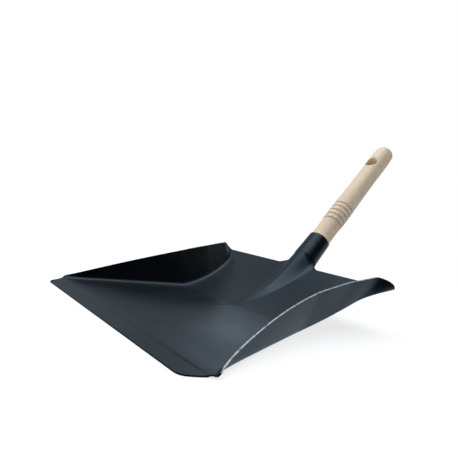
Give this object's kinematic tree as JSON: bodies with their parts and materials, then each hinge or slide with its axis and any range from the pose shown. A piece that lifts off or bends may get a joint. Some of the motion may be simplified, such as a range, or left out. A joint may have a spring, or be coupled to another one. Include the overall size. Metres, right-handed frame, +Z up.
{
  "type": "dustpan",
  "caption": "Pressed steel hand dustpan: flat floor with a creased lip, flared side walls, a rising back ramp with a rib, and a round socket holding a turned wooden handle.",
  "frame": {"origin": "middle of the underside of the whole object's box, on the surface it stands on", "axes": "+X to the right seen from in front of the lip, +Y from the lip to the handle, +Z up"},
  "size_m": [0.2446, 0.3846, 0.2056],
  "materials": {
    "painted_sheet": "satin",
    "beech": "matte",
    "tack_steel": "satin"
  },
  "bodies": {
    "root": {"pan": "painted_sheet", "handle": "beech", "handle_tack": "tack_steel"}
  },
  "joints": []
}
